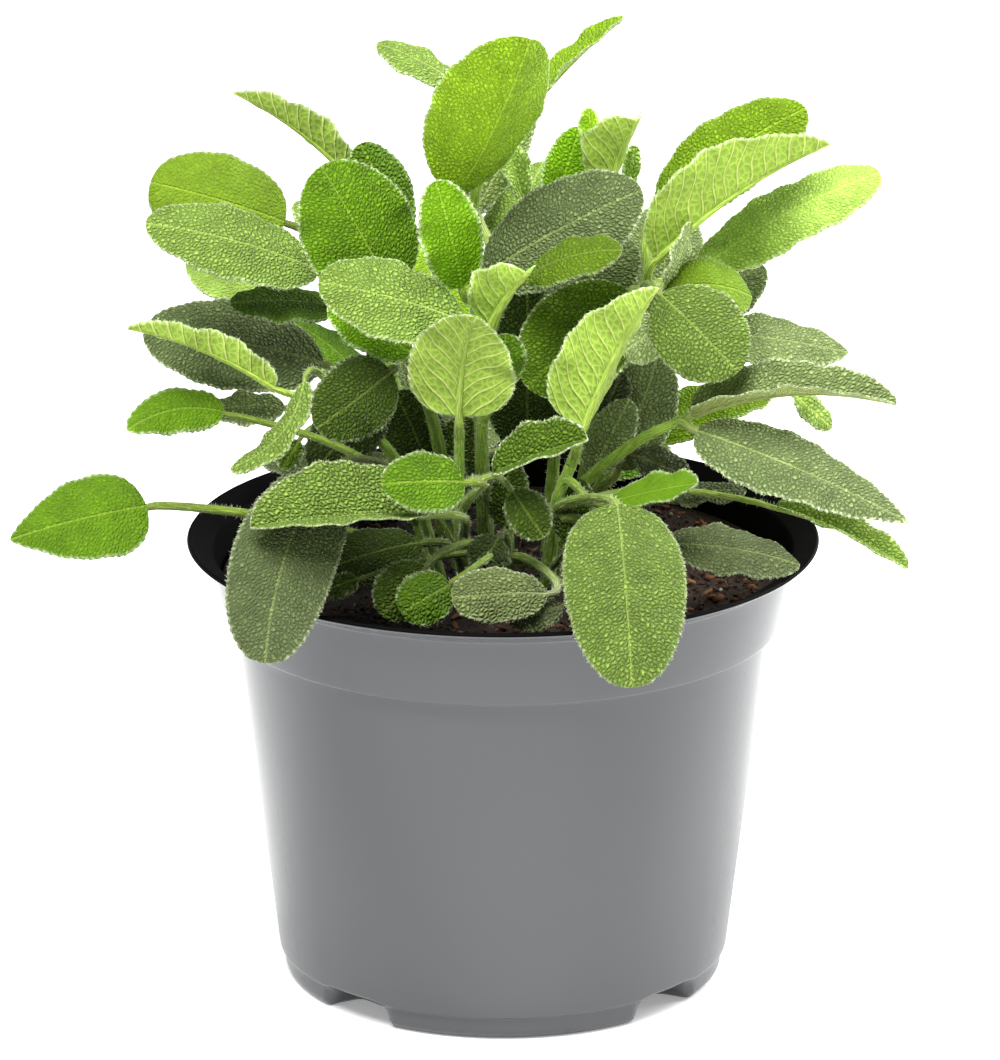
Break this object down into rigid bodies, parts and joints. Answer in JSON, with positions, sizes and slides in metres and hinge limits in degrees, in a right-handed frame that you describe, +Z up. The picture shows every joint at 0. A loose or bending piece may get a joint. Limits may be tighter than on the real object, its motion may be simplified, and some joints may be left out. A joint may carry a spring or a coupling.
{
  "type": "potted sage",
  "caption": "Bushy young sage plant with broad pebbled grey-green leaves, standing in soil in a round grey nursery pot.",
  "frame": {"origin": "centre of the pot's flat underside, on the surface that it stands on", "axes": "+Z up along the pot's axis; -Y towards the front, where the largest leaves hang over the rim"},
  "size_m": [0.1822, 0.1414, 0.202],
  "materials": {
    "pot_plastic": "satin thermoformed sheet, grey outside and black inside",
    "potting_soil": "dark brown moist crumbs with bits of bark and perlite",
    "sage_leaf": "soft matt pebbled green, paler and veined underneath"
  },
  "bodies": {
    "root": {"pot": "pot_plastic", "soil": "potting_soil", "stem_tall": "sage_leaf", "stem_back_right": "sage_leaf", "stem_right": "sage_leaf", "stem_right_low": "sage_leaf", "stem_right_front": "sage_leaf", "stem_centre": "sage_leaf", "stem_left_front": "sage_leaf", "stem_left": "sage_leaf", "stem_left_mid": "sage_leaf", "stem_left_low": "sage_leaf", "stem_front_low": "sage_leaf", "stem_back_left": "sage_leaf", "stem_back_middle": "sage_leaf", "stem_back_side": "sage_leaf"}
  },
  "joints": []
}
